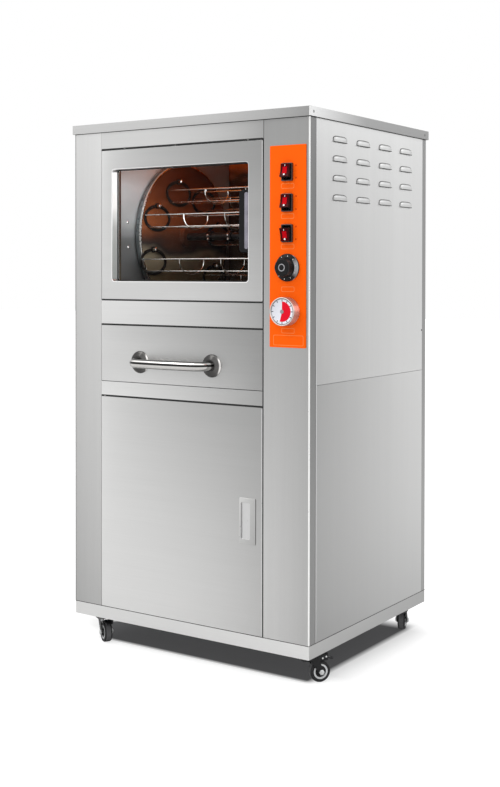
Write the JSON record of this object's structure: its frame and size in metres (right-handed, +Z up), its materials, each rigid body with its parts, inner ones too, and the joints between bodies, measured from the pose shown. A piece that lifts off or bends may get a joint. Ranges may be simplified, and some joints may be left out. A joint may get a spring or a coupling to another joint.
{
  "type": "sweet potato roaster",
  "caption": "Free-standing steel roasting cabinet on casters: glazed hot chamber with a rotor of hanging wire baskets, control column, drawer and lower cupboard.",
  "frame": {"origin": "on the floor, under the middle of the bounding box", "axes": "+Z up, the front with its doors faces -Y, the control column is at +X"},
  "size_m": [0.7108, 0.6728, 1.324],
  "materials": {
    "brushed_steel": "satin, fine horizontal grain",
    "polished_steel": "bright drawn wire and rolled sheet",
    "chrome": "mirror chrome",
    "zinc_steel": "dull galvanised",
    "glass": "clear tempered",
    "black_paint": "semi-gloss black",
    "black_plastic": "moulded, satin",
    "orange_plate": "screen-printed orange, satin",
    "red_lens": "clear moulded, glossy",
    "rubber": "moulded grey-black",
    "heater_sheath": "heat-coloured sheath",
    "mineral_wool": "fibrous"
  },
  "bodies": {
    "cabinet": {"base_pan": "brushed_steel", "lid_top": "brushed_steel", "front_left_column": "brushed_steel", "front_right_column": "brushed_steel", "top_rail": "brushed_steel", "middle_rail": "brushed_steel", "drawer_shelf": "brushed_steel", "left_side_panel": "brushed_steel", "right_side_upper": "brushed_steel", "right_side_lower": "brushed_steel", "rear_panel": "brushed_steel", "cabinet_liner": "zinc_steel", "chamber_liner": "polished_steel", "insulation_jacket": "mineral_wool", "heater_upper": "heater_sheath", "heater_lower": "heater_sheath", "shaft_bearing": "zinc_steel", "gear_motor": "black_paint", "cable_gland": "black_plastic", "control_plate": "orange_plate", "switch_housing_1": "black_plastic", "switch_housing_2": "black_plastic", "switch_housing_3": "black_plastic", "thermostat_body": "zinc_steel", "timer_body": "zinc_steel"},
    "oven_door": {"oven_door_skin": "brushed_steel", "oven_door_liner": "brushed_steel", "oven_door_glass": "glass", "oven_door_pull": "black_plastic"},
    "lower_door": {"lower_door_panel": "brushed_steel", "lower_door_pull": "polished_steel"},
    "drawer": {"drawer_front": "brushed_steel", "drawer_box": "zinc_steel", "drawer_handle": "chrome"},
    "rotor": {"rotor_shaft": "zinc_steel", "rotor_disc_left": "polished_steel", "rotor_disc_right": "polished_steel"},
    "basket_1": {"basket_1": "polished_steel"},
    "basket_2": {"basket_2": "polished_steel"},
    "basket_3": {"basket_3": "polished_steel"},
    "basket_4": {"basket_4": "polished_steel"},
    "basket_5": {"basket_5": "polished_steel"},
    "basket_6": {"basket_6": "polished_steel"},
    "basket_7": {"basket_7": "polished_steel"},
    "basket_8": {"basket_8": "polished_steel"},
    "switch_rocker_1": {"switch_rocker_1": "red_lens"},
    "switch_rocker_2": {"switch_rocker_2": "red_lens"},
    "switch_rocker_3": {"switch_rocker_3": "red_lens"},
    "thermostat_knob": {"thermostat_knob": "black_plastic"},
    "timer_dial": {"timer_dial": "chrome"},
    "caster_fork_front_right": {"caster_fork_front_right": "black_paint"},
    "caster_wheel_front_right": {"caster_wheel_front_right": "rubber"},
    "brake_pedal_front_right": {"brake_pedal_front_right": "black_paint"},
    "caster_fork_front_left": {"caster_fork_front_left": "black_paint"},
    "caster_wheel_front_left": {"caster_wheel_front_left": "rubber"},
    "brake_pedal_front_left": {"brake_pedal_front_left": "black_paint"},
    "caster_fork_rear_left": {"caster_fork_rear_left": "black_paint"},
    "caster_wheel_rear_left": {"caster_wheel_rear_left": "rubber"},
    "caster_fork_rear_right": {"caster_fork_rear_right": "black_paint"},
    "caster_wheel_rear_right": {"caster_wheel_rear_right": "rubber"}
  },
  "joints": [
    {"name": "oven_door_hinge", "type": "hinge", "parent": "cabinet", "child": "oven_door", "pos_m": [-0.2532, -0.2737, 0.8825], "axis": [0, 0, -1], "range_deg": [0, 110]},
    {"name": "lower_door_hinge", "type": "hinge", "parent": "cabinet", "child": "lower_door", "pos_m": [-0.2532, -0.2737, 0.1065], "axis": [0, 0, -1], "range_deg": [0, 110]},
    {"name": "drawer_slide", "type": "slide", "parent": "cabinet", "child": "drawer", "axis": [0, -1, 0], "range_m": [0, 0.38]},
    {"name": "rotor_spin", "type": "hinge", "parent": "cabinet", "child": "rotor", "pos_m": [0, 0.0071, 1.0456], "axis": [1, 0, 0], "continuous": true},
    {"name": "basket_1_swing", "type": "hinge", "parent": "rotor", "child": "basket_1", "pos_m": [-0.0185, -0.02919, 1.19114], "axis": [1, 0, 0], "continuous": true},
    {"name": "basket_2_swing", "type": "hinge", "parent": "rotor", "child": "basket_2", "pos_m": [-0.0185, -0.12147, 1.12286], "axis": [1, 0, 0], "continuous": true},
    {"name": "basket_3_swing", "type": "hinge", "parent": "rotor", "child": "basket_3", "pos_m": [-0.0185, -0.13844, 1.00931], "axis": [1, 0, 0], "continuous": true},
    {"name": "basket_4_swing", "type": "hinge", "parent": "rotor", "child": "basket_4", "pos_m": [-0.0185, -0.07016, 0.91702], "axis": [1, 0, 0], "continuous": true},
    {"name": "basket_5_swing", "type": "hinge", "parent": "rotor", "child": "basket_5", "pos_m": [-0.0185, 0.04339, 0.90006], "axis": [1, 0, 0], "continuous": true},
    {"name": "basket_6_swing", "type": "hinge", "parent": "rotor", "child": "basket_6", "pos_m": [-0.0185, 0.13567, 0.96834], "axis": [1, 0, 0], "continuous": true},
    {"name": "basket_7_swing", "type": "hinge", "parent": "rotor", "child": "basket_7", "pos_m": [-0.0185, 0.15264, 1.08189], "axis": [1, 0, 0], "continuous": true},
    {"name": "basket_8_swing", "type": "hinge", "parent": "rotor", "child": "basket_8", "pos_m": [-0.0185, 0.08436, 1.17417], "axis": [1, 0, 0], "continuous": true},
    {"name": "switch_rocker_1_tilt", "type": "hinge", "parent": "cabinet", "child": "switch_rocker_1", "pos_m": [0.293, -0.2777, 1.178], "axis": [1, 0, 0], "range_deg": [0, 24]},
    {"name": "switch_rocker_2_tilt", "type": "hinge", "parent": "cabinet", "child": "switch_rocker_2", "pos_m": [0.293, -0.2777, 1.1085], "axis": [1, 0, 0], "range_deg": [0, 24]},
    {"name": "switch_rocker_3_tilt", "type": "hinge", "parent": "cabinet", "child": "switch_rocker_3", "pos_m": [0.293, -0.2777, 1.039], "axis": [1, 0, 0], "range_deg": [-24, 0]},
    {"name": "thermostat_turn", "type": "hinge", "parent": "cabinet", "child": "thermostat_knob", "pos_m": [0.293, -0.2799, 0.961], "axis": [0, 1, 0], "range_deg": [0, 300]},
    {"name": "timer_turn", "type": "hinge", "parent": "cabinet", "child": "timer_dial", "pos_m": [0.293, -0.2799, 0.8615], "axis": [0, 1, 0], "range_deg": [0, 330]},
    {"name": "caster_swivel_front_right", "type": "hinge", "parent": "cabinet", "child": "caster_fork_front_right", "pos_m": [0.309, -0.2179, 0], "axis": [0, 0, 1], "continuous": true},
    {"name": "wheel_spin_front_right", "type": "hinge", "parent": "caster_fork_front_right", "child": "caster_wheel_front_right", "pos_m": [0.3274, -0.19295, 0.025], "axis": [-0.8049, 0.5934, 0], "continuous": true},
    {"name": "brake_front_right", "type": "hinge", "parent": "caster_fork_front_right", "child": "brake_pedal_front_right", "pos_m": [0.33452, -0.18329, 0.0555], "axis": [-0.8049, 0.5934, 0], "range_deg": [0, 12]},
    {"name": "caster_swivel_front_left", "type": "hinge", "parent": "cabinet", "child": "caster_fork_front_left", "pos_m": [-0.309, -0.2179, 0], "axis": [0, 0, 1], "continuous": true},
    {"name": "wheel_spin_front_left", "type": "hinge", "parent": "caster_fork_front_left", "child": "caster_wheel_front_left", "pos_m": [-0.283, -0.23478, 0.025], "axis": [0.5446, 0.8387, 0], "continuous": true},
    {"name": "brake_front_left", "type": "hinge", "parent": "caster_fork_front_left", "child": "brake_pedal_front_left", "pos_m": [-0.27294, -0.24132, 0.0555], "axis": [0.5446, 0.8387, 0], "range_deg": [0, 12]},
    {"name": "caster_swivel_rear_left", "type": "hinge", "parent": "cabinet", "child": "caster_fork_rear_left", "pos_m": [-0.309, 0.2621, 0], "axis": [0, 0, 1], "continuous": true},
    {"name": "wheel_spin_rear_left", "type": "hinge", "parent": "caster_fork_rear_left", "child": "caster_wheel_rear_left", "pos_m": [-0.32355, 0.28947, 0.025], "axis": [-0.8829, -0.4695, 0], "continuous": true},
    {"name": "caster_swivel_rear_right", "type": "hinge", "parent": "cabinet", "child": "caster_fork_rear_right", "pos_m": [0.309, 0.2621, 0], "axis": [0, 0, 1], "continuous": true},
    {"name": "wheel_spin_rear_right", "type": "hinge", "parent": "caster_fork_rear_right", "child": "caster_wheel_rear_right", "pos_m": [0.29865, 0.29132, 0.025], "axis": [-0.9426, -0.3338, 0], "continuous": true}
  ],
  "couplings": [
    {"joint": "basket_1_swing", "follows": "rotor_spin", "ratio": -1},
    {"joint": "basket_2_swing", "follows": "rotor_spin", "ratio": -1},
    {"joint": "basket_3_swing", "follows": "rotor_spin", "ratio": -1},
    {"joint": "basket_4_swing", "follows": "rotor_spin", "ratio": -1},
    {"joint": "basket_5_swing", "follows": "rotor_spin", "ratio": -1},
    {"joint": "basket_6_swing", "follows": "rotor_spin", "ratio": -1},
    {"joint": "basket_7_swing", "follows": "rotor_spin", "ratio": -1},
    {"joint": "basket_8_swing", "follows": "rotor_spin", "ratio": -1}
  ]
}
